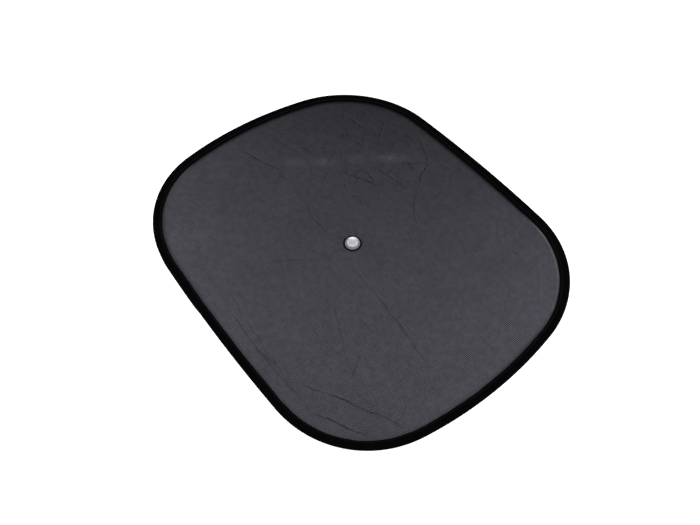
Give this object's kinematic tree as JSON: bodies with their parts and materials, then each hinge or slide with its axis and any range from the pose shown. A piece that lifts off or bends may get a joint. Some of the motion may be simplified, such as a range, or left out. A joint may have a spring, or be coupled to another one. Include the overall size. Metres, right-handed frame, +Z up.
{
  "type": "car side window sunshade",
  "caption": "Foldable oval mesh shade for a car side window: dark net panel in a black folded tape over a sprung wire hoop, with a central metal eyelet and a clear suction cup.",
  "frame": {"origin": "on the table under the middle of the hoop's outline, which is the middle of the underside of the part's box", "axes": "+X along the shade's 440 mm length, +Y along its 365 mm width, +Z up, away from the window glass when the cup is stuck to it"},
  "size_m": [0.44, 0.3651, 0.0233],
  "materials": {
    "mesh_cloth": "fine dark grey net, slightly creased",
    "binding_tape": "matt black woven tape",
    "spring_steel": "drawn steel wire",
    "nickel_plate": "bright nickel plate on pressed brass",
    "clear_soft_plastic": "clear soft plastic, smooth"
  },
  "bodies": {
    "root": {"mesh_panel": "mesh_cloth", "edge_binding": "binding_tape", "spring_wire_hoop": "spring_steel", "wire_sleeve": "spring_steel", "eyelet": "nickel_plate", "eyelet_washer": "nickel_plate", "suction_cup": "clear_soft_plastic"}
  },
  "joints": []
}
